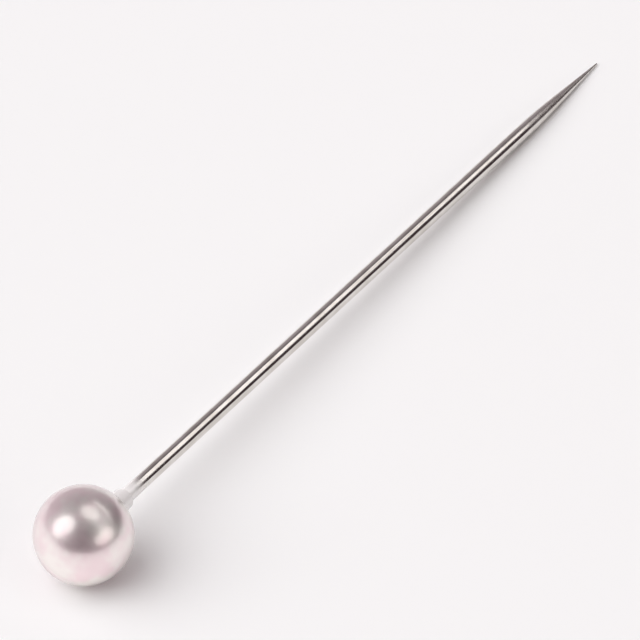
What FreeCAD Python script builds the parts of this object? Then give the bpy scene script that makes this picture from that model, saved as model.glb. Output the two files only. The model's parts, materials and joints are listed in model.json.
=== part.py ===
"""Pearl-headed straight pin for dressmaking.

The pin is a hard steel wire, ground to a slender point at one end. A round plastic head is moulded
over the other end. The head has a short collar, where it grips the wire, and inside it the wire is
pinched flat, so that the head can't turn or pull off.

All sizes are in millimetres. Both pieces are first built along the pin's own axis, called U here,
which starts at the crown of the head and runs to the tip of the point. V is the distance from that
axis. The pin is then laid on a table as it comes to rest: the head touches the table at one end,
and the ground point at the other, so the axis slopes down by about three degrees.

The finished part's frame: +X runs from the head to the point, +Z is up, and the origin lies on the
table, under the middle of the pin.
"""

import FreeCAD, Part
import math
import os

# The whole pin
overall_length = 38.0

# The wire
wire_diameter = 0.60

# The ground point: a long arc leaves the wire, runs into a straight cone and ends in a tiny round tip
point_blend_radius = 40.0
point_half_angle = 3.6
tip_radius = 0.03

# The head: a ball, with a slightly tapered collar behind it
head_diameter = 4.00
collar_length = 0.80
collar_root_diameter = 1.00
collar_end_diameter = 0.88
collar_root_fillet = 0.20
collar_edge_radius = 0.12

# The wire's end inside the head: it is pinched from a little behind its cut end to the back of the ball
crown_cover = 0.80
wire_end_chamfer = 0.06
pinch_setback = 0.50
pinch_ramp = 0.50
pinch_thickness = 0.40

full_turn = 360
quarter_turn = 90

wire_radius = wire_diameter / 2
head_radius = head_diameter / 2
collar_end = head_diameter + collar_length
pinch_start = crown_cover + pinch_setback
pinch_end = head_diameter


def at(u, v):
    """A point of a profile, drawn in the XZ plane: U runs along X, and V along Z."""
    return FreeCAD.Vector(u, 0, v)


def line(start, end):
    return Part.LineSegment(start, end).toShape()


def arc(start, end, centre):
    """The shorter arc from start to end about centre."""
    radius = start.distanceToPoint(centre)
    middle = (start - centre) + (end - centre)
    middle.normalize()
    return Part.Arc(start, centre + middle * radius, end).toShape()


def turned(edges):
    """The solid that a closed profile sweeps as it turns once round the pin's axis."""
    face = Part.Face(Part.Wire(edges))
    return face.revolve(at(0, 0), at(1, 0), full_turn)


def point_stations():
    """Where the parts of the ground point meet, worked back from the tip.

    Returns U where the grinding starts, the point where the arc runs into the cone, the point
    where the cone runs into the round tip, and the centre of that tip.
    """
    slope = math.radians(point_half_angle)
    arc_run = point_blend_radius * math.sin(slope)
    cone_start_v = wire_radius - point_blend_radius * (1 - math.cos(slope))
    cone_end_v = tip_radius * math.cos(slope)
    cone_run = (cone_start_v - cone_end_v) / math.tan(slope)
    tip_centre = overall_length - tip_radius
    cone_end_u = tip_centre + tip_radius * math.sin(slope)
    cone_start_u = cone_end_u - cone_run
    grind_start = cone_start_u - arc_run
    return grind_start, at(cone_start_u, cone_start_v), at(cone_end_u, cone_end_v), at(tip_centre, 0)


def wire_and_point(start):
    """The round wire from U = start, with the ground point at its far end."""
    grind_start, cone_start, cone_end, tip_centre = point_stations()
    shoulder = at(grind_start, wire_radius)
    blend_centre = at(grind_start, wire_radius - point_blend_radius)
    tip = at(overall_length, 0)
    return turned([
        line(at(start, 0), at(start, wire_radius)),
        line(at(start, wire_radius), shoulder),
        arc(shoulder, cone_start, blend_centre),
        line(cone_start, cone_end),
        arc(cone_end, tip, tip_centre),
        line(tip, at(start, 0)),
    ])


def wire_stub(start, end):
    """The short round length at the wire's cut end, with the cut's edge broken."""
    return turned([
        line(at(start, 0), at(start, wire_radius - wire_end_chamfer)),
        line(at(start, wire_radius - wire_end_chamfer), at(start + wire_end_chamfer, wire_radius)),
        line(at(start + wire_end_chamfer, wire_radius), at(end, wire_radius)),
        line(at(end, wire_radius), at(end, 0)),
        line(at(end, 0), at(start, 0)),
    ])


def wire_section(u, half_thickness):
    """The wire's outline at U. Pressed thinner than round, it spreads, and its area stays the same."""
    centre = at(0, 0)
    if half_thickness >= wire_radius:
        outline = Part.Circle(centre, at(0, 1), wire_radius).toShape()
    else:
        outline = Part.Ellipse(centre, wire_radius**2 / half_thickness, half_thickness).toShape()
    outline.rotate(centre, FreeCAD.Vector(0, 1, 0), quarter_turn)
    outline.translate(at(u, 0))
    return Part.Wire(outline)


def pinched_flat():
    """The length of wire that is pinched flat, from round, through oval, to round again."""
    half_thickness = pinch_thickness / 2
    sections = [
        wire_section(pinch_start, wire_radius),
        wire_section(pinch_start + pinch_ramp, half_thickness),
        wire_section(pinch_end - pinch_ramp, half_thickness),
        wire_section(pinch_end, wire_radius),
    ]
    return Part.makeLoft(sections, True, True)


def make_shaft():
    """The whole wire: its cut end, the pinched flat, the round length and the ground point."""
    stub = wire_stub(crown_cover, pinch_start)
    return stub.fuse([pinched_flat(), wire_and_point(pinch_end)])


def make_head(shaft):
    """The ball and its collar, moulded round the wire, so that the wire leaves its own shape in it."""
    ball_centre = at(head_radius, 0)
    collar_root = at(head_diameter, collar_root_diameter / 2)
    collar_rim = at(collar_end, collar_end_diameter / 2)
    along = (collar_rim - collar_root).normalize()
    outward = at(-along.z, along.x)

    # The fillet's centre is one fillet radius off the collar, and the same off the ball.
    offset_root = collar_root + outward * collar_root_fillet
    to_ball = ball_centre - offset_root
    nearest = to_ball.dot(along)
    reach = head_radius + collar_root_fillet
    step = math.sqrt(reach**2 - (to_ball.Length**2 - nearest**2))
    fillet_centre = offset_root + along * (nearest + step)
    on_ball = ball_centre + (fillet_centre - ball_centre).normalize() * head_radius
    on_collar = fillet_centre - outward * collar_root_fillet

    # The rim's rounded edge touches the collar's side and its flat end.
    rim_u = collar_end - collar_edge_radius * (1 - outward.x)
    side_end = collar_root + along * ((rim_u - collar_root.x) / along.x)
    edge_centre = side_end - outward * collar_edge_radius
    face_edge = at(collar_end, edge_centre.z)

    crown = at(0, 0)
    ball_side = at(head_radius, head_radius)
    ball = turned([
        arc(crown, ball_side, ball_centre),
        arc(ball_side, on_ball, ball_centre),
        arc(on_ball, on_collar, fillet_centre),
        line(on_collar, side_end),
        arc(side_end, face_edge, edge_centre),
        line(face_edge, at(collar_end, 0)),
        line(at(collar_end, 0), crown),
    ])
    return ball.cut(shaft)


def rest_tilt():
    """How far the axis slopes down towards the point, in radians, when the pin lies on a table.

    The pin rests on its tip if the cone is more slender than the slope. Otherwise it rests on the
    arc of the ground point, where that arc runs level.
    """
    grind_start, _, _, tip_centre = point_stations()
    on_tip = math.asin((head_radius - tip_radius) / (tip_centre.x - head_radius))
    if on_tip >= math.radians(point_half_angle):
        return on_tip
    along = grind_start - head_radius
    across = point_blend_radius - wire_radius
    apart = point_blend_radius - head_radius
    return math.acos(apart / math.hypot(along, across)) - math.atan2(along, across)


def lay_down(shape):
    """Moves a shape from the pin's own axis to where it lies on the table."""
    tilt = rest_tilt()
    tip_reach = (overall_length - tip_radius - head_radius) * math.cos(tilt) + tip_radius
    head_x = (head_radius - tip_reach) / 2
    turn = FreeCAD.Rotation(FreeCAD.Vector(0, 1, 0), math.degrees(tilt))
    ball_centre = turn.multVec(at(head_radius, 0))
    laid = shape.copy()
    laid.Placement = FreeCAD.Placement(FreeCAD.Vector(head_x, 0, head_radius) - ball_centre, turn)
    return laid


def main():
    os.makedirs("parts", exist_ok=True)
    shaft = make_shaft()
    head = make_head(shaft)
    for name, shape in {"steel_shaft": shaft, "pearl_head": head}.items():
        laid = lay_down(shape)
        laid.exportStep(f"parts/{name}.step")
        print(name, "valid", laid.isValid(), "solids", len(laid.Solids), "volume", round(laid.Volume, 4))


main()
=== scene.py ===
"""Looks of the pearl-headed straight pin: its two pieces, their finishes, and the studio round them.

Both pieces are built along the pin's own axis, called U, which runs from the crown of the head to
the tip of the point. Y and V run across it. All sizes on that axis are in millimetres. The finished
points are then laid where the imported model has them, in metres.
"""

import json
import math

import bmesh
import bpy
from mathutils import Matrix, Quaternion, Vector, noise


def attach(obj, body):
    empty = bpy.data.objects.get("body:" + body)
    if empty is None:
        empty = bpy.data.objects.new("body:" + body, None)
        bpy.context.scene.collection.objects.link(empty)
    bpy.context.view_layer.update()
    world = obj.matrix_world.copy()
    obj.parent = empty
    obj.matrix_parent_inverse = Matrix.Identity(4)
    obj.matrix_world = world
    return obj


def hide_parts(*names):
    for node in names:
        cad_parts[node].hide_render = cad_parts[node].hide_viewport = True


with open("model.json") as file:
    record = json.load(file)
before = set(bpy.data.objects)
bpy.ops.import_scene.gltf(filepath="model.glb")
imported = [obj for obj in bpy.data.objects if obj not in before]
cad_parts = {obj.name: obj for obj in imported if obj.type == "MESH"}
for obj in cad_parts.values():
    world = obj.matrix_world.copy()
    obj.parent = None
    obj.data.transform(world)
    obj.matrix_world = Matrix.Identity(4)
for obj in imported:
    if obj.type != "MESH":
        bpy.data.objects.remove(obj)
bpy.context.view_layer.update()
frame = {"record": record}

bl_info = {
    "name": "Pearl-headed straight pin",
    "version": (1, 0, 0),
    "blender": (4, 5, 0),
    "location": "3D View > Sidebar > Straight Pin",
    "description": "Builds a pearl-headed straight pin, its finishes and a plain studio",
    "category": "Object",
}

MM = 0.001

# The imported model's bare wire: its middle, its radius and its axis, which slopes down towards the point
SHAFT_MOUNT = frame["record"]["mounts"][0]
BARE_MIDDLE = Vector(SHAFT_MOUNT["pos_m"])
WIRE_RADIUS = SHAFT_MOUNT["dims"]["r_mm"]
AXIS = Vector(SHAFT_MOUNT["axis"])
SLOPE = math.atan2(-AXIS.z, AXIS.x)

# The camera stands at the photograph's height, with the pin running up to the right. Its angles are in
# degrees, its distance is in metres and its lens in millimetres
CAMERA_AZIMUTH = -55.4
CAMERA_ELEVATION = 43.0
CAMERA_DISTANCE = 0.6
CAMERA_LENS = 850.0


def linear(hex_colour):
    """The linear red, green and blue of an sRGB hex value."""
    channels = [int(hex_colour[i : i + 2], 16) / 255 for i in (1, 3, 5)]
    return [c / 12.92 if c <= 0.04045 else ((c + 0.055) / 1.055) ** 2.4 for c in channels]


def size(name, description, millimetres):
    """A size that a user can change."""
    return bpy.props.FloatProperty(
        name=name,
        description=description,
        default=millimetres * MM,
        min=0,
        unit="LENGTH",
        subtype="DISTANCE",
    )


def colour(name, description, hex_colour):
    """A colour that a user can change."""
    return bpy.props.FloatVectorProperty(
        name=name,
        description=description,
        default=linear(hex_colour),
        size=3,
        min=0,
        max=1,
        subtype="COLOR",
    )


class PinSizes(bpy.types.PropertyGroup):
    """Sizes of the pin's two pieces."""

    overall_length: size("Overall length", "From the crown of the head to the tip of the point", 38.0)
    wire_diameter: size("Wire diameter", "Thickness of the steel wire", 2 * WIRE_RADIUS)
    head_diameter: size("Head diameter", "Width of the pearl ball", 4.0)
    collar_length: size("Collar length", "How far the collar stands behind the ball", 0.8)
    collar_root: size("Collar root", "Diameter of the collar at the ball", 1.0)
    collar_end: size("Collar end", "Diameter of the collar at its free end", 0.88)
    collar_fillet: size("Collar fillet", "Radius between the ball and the collar", 0.2)
    collar_edge: size("Collar edge", "Radius of the collar's rim", 0.12)
    point_blend: size("Point blend", "Radius of the arc that leads into the point", 40.0)
    tip_radius: size("Tip radius", "Radius of the blunted tip", 0.03)
    point_half_angle: bpy.props.FloatProperty(
        name="Point half angle",
        description="Slope of the point's cone against the axis",
        default=math.radians(3.6),
        unit="ROTATION",
        subtype="ANGLE",
    )
    crown_cover: size("Crown cover", "Plastic between the crown and the wire's cut end", 0.8)
    cut_chamfer: size("Cut chamfer", "Broken edge of the wire's cut end", 0.06)
    pinch_setback: size("Pinch setback", "Round wire between its cut end and the pinched flat", 0.5)
    pinch_ramp: size("Pinch ramp", "Length over which the wire turns from round to flat", 0.5)
    pinch_thickness: size("Pinch thickness", "Thickness of the wire where it is pinched", 0.4)
    lacquer_waves: size("Lacquer waves", "Depth of the slow waves in the lacquer on the ball", 0.006)
    lacquer_film: size("Lacquer film", "Thickness of the lacquer that has crept onto the wire", 0.008)
    lacquer_creep: size("Lacquer creep", "How far the lacquer reaches past the collar", 0.75)


class PinFinishes(bpy.types.PropertyGroup):
    """Colours of the pin's finishes and of the floor."""

    pearl: colour("Pearl", "Main tint of the pearl lacquer", "#FFF9F5")
    pearl_blush: colour("Pearl blush", "Rosy tint that clouds the lacquer", "#F9E5E8")
    pearl_pool: colour("Pearl pool", "Whiter tint where the lacquer has pooled round the wire", "#FDFAF9")
    nickel: colour("Nickel", "Bright nickel plate", "#E6E2DE")
    nickel_shade: colour("Nickel shade", "Duller streaks of the plate", "#C6C0B8")
    floor: colour("Floor", "Plain pale floor", "#F8F8F8")


def sizes_mm():
    """The sizes as plain numbers: lengths in millimetres, and the point's half angle in radians."""
    group = bpy.context.scene.straight_pin_sizes
    sizes = {name: getattr(group, name) / MM for name in PinSizes.__annotations__}
    sizes["point_half_angle"] = group.point_half_angle
    return sizes


def colours():
    """The colours as red, green, blue and full opacity."""
    group = bpy.context.scene.straight_pin_finishes
    return {name: (*getattr(group, name), 1.0) for name in PinFinishes.__annotations__}


def collar_face(sizes):
    """U of the collar's flat end, where the bare wire starts."""
    return sizes["head_diameter"] + sizes["collar_length"]


def point_stations(sizes):
    """U where the grinding starts, both ends of the cone, and U of the round tip's centre."""
    slope = sizes["point_half_angle"]
    cone_start_v = sizes["wire_diameter"] / 2 - sizes["point_blend"] * (1 - math.cos(slope))
    cone_end_v = sizes["tip_radius"] * math.cos(slope)
    tip_centre_u = sizes["overall_length"] - sizes["tip_radius"]
    cone_end_u = tip_centre_u + sizes["tip_radius"] * math.sin(slope)
    cone_start_u = cone_end_u - (cone_start_v - cone_end_v) / math.tan(slope)
    grind_start_u = cone_start_u - sizes["point_blend"] * math.sin(slope)
    cone_start = Vector((cone_start_u, cone_start_v))
    cone_end = Vector((cone_end_u, cone_end_v))
    return grind_start_u, cone_start, cone_end, tip_centre_u


def crown():
    """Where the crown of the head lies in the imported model, in metres."""
    sizes = sizes_mm()
    bare_middle_u = (collar_face(sizes) + point_stations(sizes)[0]) / 2
    return BARE_MIDDLE - AXIS * bare_middle_u * MM


# Meshes

# Points round each piece, and rows of points along each stretch of its outline
HEAD_SEGMENTS = 192
WIRE_SEGMENTS = 96
HEAD_ROWS = {"front": 60, "back": 50, "fillet": 12, "collar": 10, "rim": 10}
WIRE_ROWS = {"covered": 4, "filmed": 40, "round": 80, "blend": 24, "cone": 30, "tip": 8}

# Widths of the waves in the ball's lacquer, and of the lobes and the thinning edge of the film on the wire,
# in millimetres. The wire's finer rows reach this many times the film's usual creep
WAVE_WIDTH = 0.9
FILM_LOBE = 0.3
FILM_FADE = 0.3
FINE_REACH = 2

# Below this many millimetres a width counts as none. Edges that turn by more than the angle stay sharp
NO_WIDTH = 1e-6
SHARP_ANGLE = math.radians(35)


def arc(centre, start, end, steps):
    """Stations on the shorter arc from start to end about centre, without the first."""
    from_angle = math.atan2(start.y - centre.y, start.x - centre.x)
    to_angle = math.atan2(end.y - centre.y, end.x - centre.x)
    turn = (to_angle - from_angle + math.pi) % math.tau - math.pi
    angles = [from_angle + turn * (i + 1) / steps for i in range(steps)]
    return [centre + (start - centre).length * Vector((math.cos(a), math.sin(a))) for a in angles]


def line(start, end, steps):
    """Stations on the line from start to end, without the first."""
    return [start.lerp(end, (i + 1) / steps) for i in range(steps)]


def row(u, half_y, half_v, segments):
    """The points round the axis at U, for those half widths along Y and V. With no width it's one point."""
    if half_v < NO_WIDTH:
        return [Vector((u, 0, 0))]
    angles = [math.tau * k / segments for k in range(segments)]
    return [Vector((u, half_y * math.sin(a), half_v * math.cos(a))) for a in angles]


def turned_rows(stations, segments):
    """Round rows, one for each station of an outline."""
    return [row(station.x, station.y, station.y, segments) for station in stations]


def hidden_end_rows(sizes, segments):
    """Rows of the wire inside the ball: its cut end, the round stub, and the pinched flat."""
    radius = sizes["wire_diameter"] / 2
    start = sizes["crown_cover"]
    chamfer = sizes["cut_chamfer"]
    thin = sizes["pinch_thickness"] / 2
    wide = radius**2 / thin
    pinch_start = start + sizes["pinch_setback"]
    pinch_end = sizes["head_diameter"]
    sections = [
        (start, 0, 0),
        (start, radius - chamfer, radius - chamfer),
        (start + chamfer, radius, radius),
        (pinch_start, radius, radius),
        (pinch_start + sizes["pinch_ramp"], thin, wide),
        (pinch_end - sizes["pinch_ramp"], thin, wide),
        (pinch_end, radius, radius),
    ]
    return [row(*section, segments) for section in sections]


def head_outline(sizes):
    """Stations from the crown, over the ball, the fillet and the collar, to the edge of its flat end."""
    radius = sizes["head_diameter"] / 2
    fillet = sizes["collar_fillet"]
    edge = sizes["collar_edge"]
    centre = Vector((radius, 0))
    root = Vector((sizes["head_diameter"], sizes["collar_root"] / 2))
    rim = Vector((collar_face(sizes), sizes["collar_end"] / 2))
    along = (rim - root).normalized()
    outward = Vector((-along.y, along.x))

    # The fillet's centre is one fillet radius off the collar, and the same off the ball
    offset_root = root + outward * fillet
    to_ball = centre - offset_root
    nearest = to_ball.dot(along)
    step = math.sqrt((radius + fillet) ** 2 - (to_ball.length_squared - nearest**2))
    fillet_centre = offset_root + along * (nearest + step)
    on_ball = centre + (fillet_centre - centre).normalized() * radius
    on_collar = fillet_centre - outward * fillet

    # The rim's rounded edge touches the collar's side and its flat end
    rim_u = rim.x - edge * (1 - outward.x)
    side_end = root + along * ((rim_u - root.x) / along.x)
    edge_centre = side_end - outward * edge
    face_edge = Vector((rim.x, edge_centre.y))

    crown_point = Vector((0, 0))
    ball_side = Vector((radius, radius))
    return [
        crown_point,
        *arc(centre, crown_point, ball_side, HEAD_ROWS["front"]),
        *arc(centre, ball_side, on_ball, HEAD_ROWS["back"]),
        *arc(fillet_centre, on_ball, on_collar, HEAD_ROWS["fillet"]),
        *line(on_collar, side_end, HEAD_ROWS["collar"]),
        *arc(edge_centre, side_end, face_edge, HEAD_ROWS["rim"]),
    ]


def bare_outline(sizes):
    """Stations along the round wire, from the back of the ball to the tip."""
    radius = sizes["wire_diameter"] / 2
    grind_start_u, cone_start, cone_end, tip_centre_u = point_stations(sizes)
    covered = Vector((sizes["head_diameter"], radius))
    opening = Vector((collar_face(sizes), radius))
    film_end = Vector((collar_face(sizes) + FINE_REACH * sizes["lacquer_creep"], radius))
    shoulder = Vector((grind_start_u, radius))
    blend_centre = Vector((grind_start_u, radius - sizes["point_blend"]))
    tip = Vector((sizes["overall_length"], 0))
    return [
        *line(covered, opening, WIRE_ROWS["covered"]),
        *line(opening, film_end, WIRE_ROWS["filmed"]),
        *line(film_end, shoulder, WIRE_ROWS["round"]),
        *arc(blend_centre, shoulder, cone_start, WIRE_ROWS["blend"]),
        *line(cone_start, cone_end, WIRE_ROWS["cone"]),
        *arc(Vector((tip_centre_u, 0)), cone_end, tip, WIRE_ROWS["tip"]),
    ]


def waved(point, sizes):
    """A point of the head's skin, sunk in slow waves where the lacquer ran thin."""
    inward = (Vector((sizes["head_diameter"] / 2, 0, 0)) - point).normalized()
    share = 0.5 + 0.5 * noise.noise(point / WAVE_WIDTH)
    return point + inward * sizes["lacquer_waves"] * share


def filmed(point, sizes):
    """A point of the bare wire, raised by the film of lacquer that has crept past the collar."""
    across = Vector((0, point.y, point.z))
    past_collar = point.x - collar_face(sizes)
    if past_collar < NO_WIDTH or across.length < NO_WIDTH:
        return point
    reach = sizes["lacquer_creep"] * (1 + 0.5 * noise.noise(across / FILM_LOBE))
    share = max(0.0, min(1.0, (reach - past_collar) / FILM_FADE))
    return point + across.normalized() * sizes["lacquer_film"] * share


def add_piece(name, rows, node, material):
    """Skins rows of points into a closed mesh that stands in for its CAD node, and lies where that lies."""
    mesh = bmesh.new()
    segments = max(len(points) for points in rows)
    loops = [[mesh.verts.new(point) for point in points] * (segments // len(points)) for points in rows]
    for loop, following in zip(loops, loops[1:]):
        for k in range(segments):
            corners = (loop[k], loop[k - 1], following[k - 1], following[k])
            mesh.faces.new(dict.fromkeys(corners))
    bmesh.ops.recalc_face_normals(mesh, faces=mesh.faces)
    data = bpy.data.meshes.new(name)
    mesh.to_mesh(data)
    mesh.free()
    data.shade_smooth()
    data.set_sharp_from_angle(angle=SHARP_ANGLE)
    data.transform(Matrix.Translation(crown()) @ Matrix.Rotation(SLOPE, 4, "Y") @ Matrix.Scale(MM, 4))
    data.materials.append(material)
    piece = bpy.data.objects.new(name, data)
    bpy.context.scene.collection.objects.link(piece)
    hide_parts(node)
    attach(piece, "root")


# Materials

# A Mix node's sockets go by number, because some share a name: its share, its two numbers, its two colours
# and its mixed colour
SHARE, NUMBER_A, NUMBER_B, COLOUR_A, COLOUR_B = 0, 2, 3, 6, 7
MIXED_COLOUR = 2
COLOUR_MIX = {"data_type": "RGBA"}
SMOOTH = {"interpolation_type": "SMOOTHSTEP"}

# The pearl lacquer's patterns, in millimetres. Real flakes are about 0.02 mm wide. They are drawn wider, so
# that they show
CLOUD_WIDTH = 1.2
FLAKE_WIDTH = 0.07
PEEL_WIDTH = 0.4
PEEL_DEPTH = 0.0015
SATIN_PATCH = 0.5
POOL_FADE = 0.2

# How far the flakes lean, as a slope, and the slice of the cloud noise that has rose under the ball
FLAKE_LEAN = 0.006
CLOUD_SLICE = 15.0

# The plated wire's patterns, in millimetres. Real drawing lines are about 0.005 mm wide, and real grinding
# lines about 0.01 mm. Both are drawn wider, so that they show. An edge's wander is how far it strays along
# the wire, and its fade is where it begins and ends
DRAWN_LINE = (6.0, 0.05, 0.05)
DRAWN_DEPTH = 0.0006
GROUND_LINE = (0.06, 1.5, 1.5)
GROUND_DEPTH = 0.002
BLOTCH_WIDTH = 0.8
GRIND_WANDER = 1.6
GRIND_FADE = (0.5, 1.5)
TONGUE_LOBE = 0.5
TONGUE_WANDER = 0.5
TONGUE_FADE = (-0.4, 0.9)


def add_node(tree, kind, settings=None, inputs=None, output=0):
    """Adds one node and gives back one of its outputs. An input is a value, or an output to link."""
    node = tree.nodes.new(kind)
    for name, value in (settings or {}).items():
        setattr(node, name, value)
    for socket, value in (inputs or {}).items():
        if isinstance(value, bpy.types.NodeSocket):
            tree.links.new(value, node.inputs[socket])
        else:
            node.inputs[socket].default_value = value
    return node.outputs[output] if node.outputs else None


def new_material(name):
    """A material with an empty node tree."""
    material = bpy.data.materials.new(name)
    material.use_nodes = True
    material.node_tree.nodes.clear()
    return material, material.node_tree


def pin_place(tree):
    """Where a point is on the pin, in millimetres: X is U, and Y and Z run across the axis."""
    place = add_node(tree, "ShaderNodeTexCoord", output="Object")
    on_pin = {"Vector": place, "Location": crown(), "Rotation": (0, SLOPE, 0), "Scale": (MM, MM, MM)}
    return add_node(tree, "ShaderNodeMapping", {"vector_type": "TEXTURE"}, on_pin)


def pearl_lacquer():
    """Imitation-pearl lacquer, dipped over a moulded ABS ball.

    Its mica flakes lie flat, so it mirrors the room like satin metal under a clear gloss. The tint
    clouds between cream and rose, and the film has dried with a faint orange peel.
    """
    tint = colours()
    material, tree = new_material("dipped_pearl_lacquer_on_abs")
    place = pin_place(tree)

    # The flakes gather in clouds of cream and rose
    cloud_look = {"Vector": place, "W": CLOUD_SLICE, "Scale": 1 / CLOUD_WIDTH, "Detail": 2.0}
    cloud = add_node(tree, "ShaderNodeTexNoise", {"noise_dimensions": "4D"}, cloud_look)
    rosy = add_node(tree, "ShaderNodeMapRange", SMOOTH, {"Value": cloud, "From Min": 0.35, "From Max": 0.65})
    cream_and_rose = {SHARE: rosy, COLOUR_A: tint["pearl"], COLOUR_B: tint["pearl_blush"]}
    clouded = add_node(tree, "ShaderNodeMix", COLOUR_MIX, cream_and_rose, MIXED_COLOUR)

    # Each flake leans its own way
    flake_look = {"Vector": place, "Scale": 1 / FLAKE_WIDTH}
    flake = add_node(tree, "ShaderNodeTexVoronoi", {}, flake_look, "Color")
    no_lean = (0.5, 0.5, 0.5)
    offset = add_node(tree, "ShaderNodeVectorMath", {"operation": "SUBTRACT"}, {0: flake, 1: no_lean})
    lean = add_node(tree, "ShaderNodeVectorMath", {"operation": "SCALE"}, {0: offset, "Scale": FLAKE_LEAN})

    # Orange peel, which the gloss on top shows too
    swell_look = {"Vector": place, "Scale": 1 / PEEL_WIDTH, "Detail": 1.0}
    swell = add_node(tree, "ShaderNodeTexNoise", {}, swell_look)
    peel_relief = {"Height": swell, "Strength": 1.0, "Distance": PEEL_DEPTH * MM}
    peel = add_node(tree, "ShaderNodeBump", {}, peel_relief)
    leaning = add_node(tree, "ShaderNodeVectorMath", {"operation": "ADD"}, {0: peel, 1: lean})
    flake_normal = add_node(tree, "ShaderNodeVectorMath", {"operation": "NORMALIZE"}, {0: leaning})

    # The film is a little more satin in patches
    patch_look = {"Vector": place, "Scale": 1 / SATIN_PATCH, "Detail": 2.0}
    patch = add_node(tree, "ShaderNodeTexNoise", {}, patch_look)
    satin_range = {"Value": patch, "From Min": 0.3, "From Max": 0.7, "To Min": 0.29, "To Max": 0.35}
    satin = add_node(tree, "ShaderNodeMapRange", {}, satin_range)

    # On the collar the film has pooled and its flakes lie every way, so there it is whiter and mirrors less
    u = add_node(tree, "ShaderNodeSeparateXYZ", {}, {"Vector": place})
    ball_back = sizes_mm()["head_diameter"]
    pool_range = {"Value": u, "From Min": ball_back - POOL_FADE, "From Max": ball_back + POOL_FADE}
    pooled = add_node(tree, "ShaderNodeMapRange", SMOOTH, pool_range)
    ball_and_pool = {SHARE: pooled, COLOUR_A: clouded, COLOUR_B: tint["pearl_pool"]}
    base = add_node(tree, "ShaderNodeMix", COLOUR_MIX, ball_and_pool, MIXED_COLOUR)
    metallic = add_node(tree, "ShaderNodeMix", {}, {SHARE: pooled, NUMBER_A: 0.8, NUMBER_B: 0.05})
    shader = add_node(
        tree,
        "ShaderNodeBsdfPrincipled",
        {},
        {
            "Base Color": base,
            "Metallic": metallic,
            "Roughness": satin,
            "Specular Tint": (0.72, 0.7, 0.7, 1.0),
            "Coat Weight": 1.0,
            "Coat Roughness": 0.04,
            "Coat IOR": 1.5,
            "Normal": flake_normal,
            "Coat Normal": peel,
        },
    )
    add_node(tree, "ShaderNodeOutputMaterial", {}, {"Surface": shader})
    return material


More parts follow.
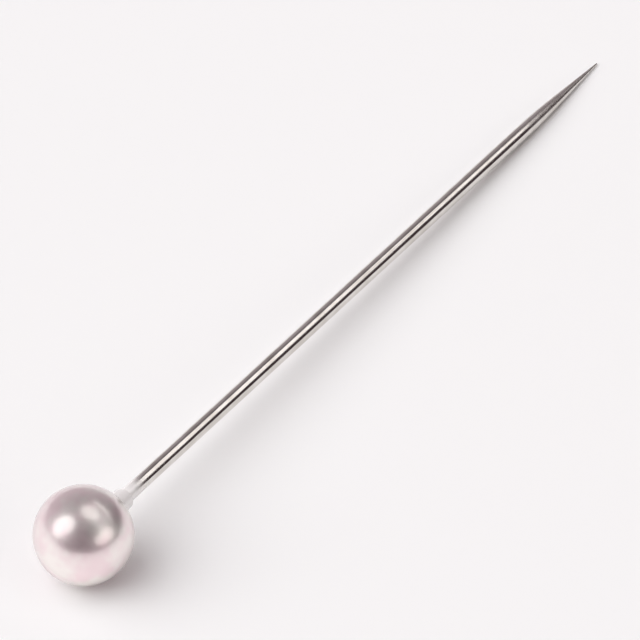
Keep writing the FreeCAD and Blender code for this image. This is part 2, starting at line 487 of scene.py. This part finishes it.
def plated_steel():
    """Bright nickel plate on hard drawn steel wire, with the point ground and then tumbled.

    The plate mirrors the room, and the drawing lines under it break the mirror into fine streaks
    along the wire. On the point the grinding lines run round it. Next to the collar a thin tongue
    of pearl lacquer covers the plate, and its edge is ragged.
    """
    tint = colours()
    sizes = sizes_mm()
    material, tree = new_material("nickel_plated_drawn_steel")
    place = pin_place(tree)
    u = add_node(tree, "ShaderNodeSeparateXYZ", {}, {"Vector": place})

    # Drawing lines run along the wire
    drawn_place = add_node(tree, "ShaderNodeVectorMath", {"operation": "DIVIDE"}, {0: place, 1: DRAWN_LINE})
    drawn = add_node(tree, "ShaderNodeTexNoise", {}, {"Vector": drawn_place, "Scale": 1.0, "Detail": 3.0})

    # Grinding lines run round the point
    ground_place = add_node(tree, "ShaderNodeVectorMath", {"operation": "DIVIDE"}, {0: place, 1: GROUND_LINE})
    ground = add_node(tree, "ShaderNodeTexNoise", {}, {"Vector": ground_place, "Scale": 1.0, "Detail": 3.0})

    # The grinding fades in unevenly over a millimetre
    blotch_look = {"Vector": place, "Scale": 1 / BLOTCH_WIDTH, "Detail": 2.0}
    blotch = add_node(tree, "ShaderNodeTexNoise", {}, blotch_look)
    shift_along = {"operation": "MULTIPLY_ADD"}
    uneven = add_node(tree, "ShaderNodeMath", shift_along, {0: blotch, 1: GRIND_WANDER, 2: u})
    grind_from, grind_to = (point_stations(sizes)[0] + fade for fade in GRIND_FADE)
    grind_range = {"Value": uneven, "From Min": grind_from, "From Max": grind_to}
    on_point = add_node(tree, "ShaderNodeMapRange", SMOOTH, grind_range)
    lines = add_node(tree, "ShaderNodeMix", {}, {SHARE: on_point, NUMBER_A: drawn, NUMBER_B: ground})

    # The lacquer's tongue thins out in lobes
    lobe_look = {"Vector": place, "Scale": 1 / TONGUE_LOBE, "Detail": 1.0}
    lobe = add_node(tree, "ShaderNodeTexNoise", {}, lobe_look)
    ragged = add_node(tree, "ShaderNodeMath", shift_along, {0: lobe, 1: TONGUE_WANDER, 2: u})
    tongue_end = collar_face(sizes) + sizes["lacquer_creep"]
    bare_from, bare_to = (tongue_end + fade for fade in TONGUE_FADE)
    bare_range = {"Value": ragged, "From Min": bare_from, "From Max": bare_to}
    bare = add_node(tree, "ShaderNodeMapRange", SMOOTH, bare_range)

    # The plate is duller in blotches and along the deeper lines
    dull_range = {"Value": blotch, "From Min": 0.35, "From Max": 0.7, "To Min": 0.0, "To Max": 0.6}
    dull = add_node(tree, "ShaderNodeMapRange", {}, dull_range)
    bright_and_dull = {SHARE: dull, COLOUR_A: tint["nickel"], COLOUR_B: tint["nickel_shade"]}
    plate = add_node(tree, "ShaderNodeMix", COLOUR_MIX, bright_and_dull, MIXED_COLOUR)
    deep_range = {"Value": lines, "From Min": 0.5, "From Max": 0.75, "To Min": 0.0, "To Max": 0.5}
    deep = add_node(tree, "ShaderNodeMapRange", {}, deep_range)
    plate_and_lines = {SHARE: deep, COLOUR_A: plate, COLOUR_B: tint["nickel_shade"]}
    streaked = add_node(tree, "ShaderNodeMix", COLOUR_MIX, plate_and_lines, MIXED_COLOUR)
    tongue_and_plate = {SHARE: bare, COLOUR_A: tint["pearl_pool"], COLOUR_B: streaked}
    base = add_node(tree, "ShaderNodeMix", COLOUR_MIX, tongue_and_plate, MIXED_COLOUR)
    worn_range = {"Value": lines, "From Min": 0.35, "From Max": 0.7, "To Min": 0.09, "To Max": 0.17}
    worn = add_node(tree, "ShaderNodeMapRange", {}, worn_range)

    # The grinding left coarser lines than the drawing, so the point is more satin than the wire
    gloss = add_node(tree, "ShaderNodeMix", {}, {SHARE: on_point, NUMBER_A: worn, NUMBER_B: 0.24})
    depths = {SHARE: on_point, NUMBER_A: DRAWN_DEPTH * MM, NUMBER_B: GROUND_DEPTH * MM}
    line_relief = {"Height": lines, "Strength": 1.0, "Distance": add_node(tree, "ShaderNodeMix", {}, depths)}

    # From the lacquer to the plate, all of the finish changes
    metallic = add_node(tree, "ShaderNodeMix", {}, {SHARE: bare, NUMBER_A: 0.05, NUMBER_B: 1.0})
    roughness = add_node(tree, "ShaderNodeMix", {}, {SHARE: bare, NUMBER_A: 0.27, NUMBER_B: gloss})
    coat = add_node(tree, "ShaderNodeMix", {}, {SHARE: bare, NUMBER_A: 1.0, NUMBER_B: 0.0})
    shader = add_node(
        tree,
        "ShaderNodeBsdfPrincipled",
        {},
        {
            "Base Color": base,
            "Metallic": metallic,
            "Roughness": roughness,
            "Coat Weight": coat,
            "Coat Roughness": 0.04,
            "Normal": add_node(tree, "ShaderNodeBump", {}, line_relief),
        },
    )
    add_node(tree, "ShaderNodeOutputMaterial", {}, {"Surface": shader})
    return material


def matt_board():
    """Matt white painted board: even and without gloss, so that it holds only the pin's soft shadow."""
    material, tree = new_material("matt_white_board")
    surface = {"Base Color": colours()["floor"], "Roughness": 0.9, "Specular IOR Level": 0.1}
    shader = add_node(tree, "ShaderNodeBsdfPrincipled", {}, surface)
    add_node(tree, "ShaderNodeOutputMaterial", {}, {"Surface": shader})
    return material


# Studio


def direction(azimuth, elevation):
    """The unit vector from the pin towards something at that azimuth and elevation, in degrees.

    Azimuth 0 is in front, on the minus Y side, and 90 is past the point, on the plus X side.
    """
    a, e = math.radians(azimuth), math.radians(elevation)
    return Vector((math.sin(a) * math.cos(e), -math.cos(a) * math.cos(e), math.sin(e)))


# Each softbox: its name, its azimuth from the camera, elevation, width, height and roll in degrees, its
# radiance and colour, and whether it shows in gloss. The key has a wide fill behind it that doesn't show in
# gloss, so the floor is lit without a burnt-out glint. The strip lies along the directions that the wire
# mirrors, so it draws the bright line on the wire. The glow veils the ball's dark middle on its right. The
# card stands low on the left, so that the pale floor seems to reach a little higher in the ball there
SOFTBOXES = [
    ("key_softbox", -72.2, 42.0, 54.0, 42.0, 76.0, 1.1, "#FFFFFF", True),
    ("key_fill", -75.0, 52.0, 80.0, 70.0, 0.0, 1.84, "#FFFFFF", False),
    ("top_softbox", 121.5, 74.7, 39.0, 35.5, 0.0, 0.89, "#FFFBFA", True),
    ("strip_softbox", 122.3, 42.9, 51.5, 7.3, 25.0, 1.27, "#FFFDFB", True),
    ("side_softbox", 57.0, 25.0, 51.0, 28.0, 0.0, 1.17, "#FFFCF8", True),
    ("soft_glow", 78.0, 52.0, 37.0, 34.0, 0.0, 0.41, "#FFFFFF", True),
    ("white_card", -72.0, 3.6, 49.0, 7.0, 0.0, 0.3, "#FFFDFC", True),
]
SOFTBOX_DISTANCE = 4.0

# The dim room's walls, and how far round from the camera its dark corner is, in degrees
DARK_CORNER_AZIMUTH = 45.0
LOW_WALL, HIGH_WALL, DARK_WALL, FLOOR_EDGE_BAND = "#B2A9AD", "#6A6266", "#493E42", "#F5F3F3"

# The floor reaches this far from the pin, in metres
FLOOR_REACH = 8.0


def add_softboxes():
    """Soft lamps, far enough off to light the floor evenly. The camera itself doesn't see them."""
    for name, azimuth, elevation, width, height, roll, radiance, hex_colour, in_gloss in SOFTBOXES:
        lamp = bpy.data.lights.new(name, "AREA")
        lamp.shape = "ELLIPSE"
        lamp.size = 2 * SOFTBOX_DISTANCE * math.tan(math.radians(width / 2))
        lamp.size_y = 2 * SOFTBOX_DISTANCE * math.tan(math.radians(height / 2))
        face_area = math.pi / 4 * lamp.size * lamp.size_y
        lamp.energy = radiance * math.pi * face_area
        lamp.color = linear(hex_colour)
        box = bpy.data.objects.new(name, lamp)
        towards = direction(CAMERA_AZIMUTH + azimuth, elevation)
        box.location = towards * SOFTBOX_DISTANCE
        box.rotation_mode = "QUATERNION"
        upright = towards.to_track_quat("Z", "Y")
        box.rotation_quaternion = upright @ Quaternion((0, 0, 1), math.radians(roll))
        box.visible_camera = False
        box.visible_glossy = in_gloss
        bpy.context.scene.collection.objects.link(box)


def add_room():
    """A dim studio, darkest to the camera's right, with a pale band at the floor's edge."""
    world = bpy.data.worlds.new("dim_studio")
    world.use_nodes = True
    tree = world.node_tree
    tree.nodes.clear()
    ray = add_node(tree, "ShaderNodeTexCoord", output="Generated")
    height = add_node(tree, "ShaderNodeSeparateXYZ", {}, {"Vector": ray}, output="Z")
    to_dark_corner = tuple(direction(CAMERA_AZIMUTH + DARK_CORNER_AZIMUTH, 0))
    ray_and_corner = {0: ray, 1: to_dark_corner}
    dot_product = {"operation": "DOT_PRODUCT"}
    facing = add_node(tree, "ShaderNodeVectorMath", dot_product, ray_and_corner, output="Value")
    dark_share_range = {"Value": facing, "From Min": -0.7, "From Max": 0.45}
    dark_share = add_node(tree, "ShaderNodeMapRange", SMOOTH, dark_share_range)
    up_share_range = {"Value": height, "From Min": 0.1, "From Max": 1.0}
    up_share = add_node(tree, "ShaderNodeMapRange", SMOOTH, up_share_range)
    above_band_range = {"Value": height, "From Min": 0.0, "From Max": 0.06}
    above_band = add_node(tree, "ShaderNodeMapRange", SMOOTH, above_band_range)
    tones = (LOW_WALL, HIGH_WALL, DARK_WALL, FLOOR_EDGE_BAND)
    low_wall, high_wall, dark_wall, band = ((*linear(tone), 1.0) for tone in tones)
    low_to_high = {SHARE: up_share, COLOUR_A: low_wall, COLOUR_B: high_wall}
    far_wall = add_node(tree, "ShaderNodeMix", COLOUR_MIX, low_to_high, MIXED_COLOUR)
    far_to_dark = {SHARE: dark_share, COLOUR_A: far_wall, COLOUR_B: dark_wall}
    walls = add_node(tree, "ShaderNodeMix", COLOUR_MIX, far_to_dark, MIXED_COLOUR)
    band_to_walls = {SHARE: above_band, COLOUR_A: band, COLOUR_B: walls}
    room = add_node(tree, "ShaderNodeMix", COLOUR_MIX, band_to_walls, MIXED_COLOUR)
    background = add_node(tree, "ShaderNodeBackground", {}, {"Color": room, "Strength": 1.0})
    add_node(tree, "ShaderNodeOutputWorld", {}, {"Surface": background})
    bpy.context.scene.world = world


def add_floor():
    """The plain floor that the pin lies on."""
    data = bpy.data.meshes.new("studio_floor")
    corners = [(x * FLOOR_REACH, y * FLOOR_REACH, 0) for x, y in ((-1, -1), (1, -1), (1, 1), (-1, 1))]
    data.from_pydata(corners, [], [(0, 1, 2, 3)])
    data.materials.append(matt_board())
    floor = bpy.data.objects.new("studio_floor", data)
    bpy.context.scene.collection.objects.link(floor)


def add_camera():
    """A long lens that frames the pin with the same room at the ball's edges as at the tip."""
    lens = bpy.data.cameras.new("camera")
    lens.lens = CAMERA_LENS
    towards = direction(CAMERA_AZIMUTH, CAMERA_ELEVATION)
    facing = towards.to_track_quat("Z", "Y")
    sizes = sizes_mm()
    head_radius = sizes["head_diameter"] / 2 * MM
    ball_centre = crown() + AXIS * head_radius
    ball_corner = ball_centre - facing @ Vector((1, 1, 0)) * head_radius
    tip = crown() + AXIS * sizes["overall_length"] * MM
    camera = bpy.data.objects.new("camera", lens)
    camera.location = (ball_corner + tip) / 2 + towards * CAMERA_DISTANCE
    camera.rotation_mode = "QUATERNION"
    camera.rotation_quaternion = facing
    bpy.context.scene.collection.objects.link(camera)
    bpy.context.scene.camera = camera


# Operators and panel


class PIN_OT_pearl_head(bpy.types.Operator):
    """Builds the pearl ball with its collar, moulded round the end of the wire."""

    bl_idname = "straight_pin.pearl_head"
    bl_label = "Pearl Head"

    def execute(self, context):
        sizes = sizes_mm()
        skin = turned_rows(head_outline(sizes), HEAD_SEGMENTS)
        waved_skin = [[waved(point, sizes) for point in points] for points in skin]
        wire_radius = sizes["wire_diameter"] / 2
        hole = [row(collar_face(sizes), wire_radius, wire_radius, HEAD_SEGMENTS)]
        hole += reversed(hidden_end_rows(sizes, HEAD_SEGMENTS))
        add_piece("pearl_lacquered_head", waved_skin + hole, "pearl_head", pearl_lacquer())
        return {"FINISHED"}


class PIN_OT_plated_wire(bpy.types.Operator):
    """Builds the nickel-plated steel wire with its pinched end and its ground point."""

    bl_idname = "straight_pin.plated_wire"
    bl_label = "Plated Wire"

    def execute(self, context):
        sizes = sizes_mm()
        bare = turned_rows(bare_outline(sizes), WIRE_SEGMENTS)
        filmed_bare = [[filmed(point, sizes) for point in points] for points in bare]
        rows = hidden_end_rows(sizes, WIRE_SEGMENTS) + filmed_bare
        add_piece("nickel_plated_wire", rows, "steel_shaft", plated_steel())
        return {"FINISHED"}


class PIN_OT_studio(bpy.types.Operator):
    """Sets up the pale floor, the softboxes, the dim room and the camera."""

    bl_idname = "straight_pin.studio"
    bl_label = "Studio"

    def execute(self, context):
        context.scene.view_settings.view_transform = "Standard"
        add_floor()
        add_softboxes()
        add_room()
        add_camera()
        return {"FINISHED"}


class PIN_PT_straight_pin(bpy.types.Panel):
    """Lists the pin's operators, sizes and colours."""

    bl_label = "Straight Pin"
    bl_space_type = "VIEW_3D"
    bl_region_type = "UI"
    bl_category = "Straight Pin"

    def draw(self, context):
        for operator in OPERATORS:
            self.layout.operator(operator.bl_idname)
        for group in (context.scene.straight_pin_sizes, context.scene.straight_pin_finishes):
            column = self.layout.column()
            for name in type(group).__annotations__:
                column.prop(group, name)


OPERATORS = (PIN_OT_pearl_head, PIN_OT_plated_wire, PIN_OT_studio)
CLASSES = (PinSizes, PinFinishes, *OPERATORS, PIN_PT_straight_pin)


def register():
    for cls in CLASSES:
        bpy.utils.register_class(cls)
    bpy.types.Scene.straight_pin_sizes = bpy.props.PointerProperty(type=PinSizes)
    bpy.types.Scene.straight_pin_finishes = bpy.props.PointerProperty(type=PinFinishes)


def unregister():
    del bpy.types.Scene.straight_pin_finishes
    del bpy.types.Scene.straight_pin_sizes
    for cls in reversed(CLASSES):
        bpy.utils.unregister_class(cls)


def main():
    register()
    bpy.ops.straight_pin.pearl_head()
    bpy.ops.straight_pin.plated_wire()
    bpy.ops.straight_pin.studio()


if __name__ == "__main__":
    main()
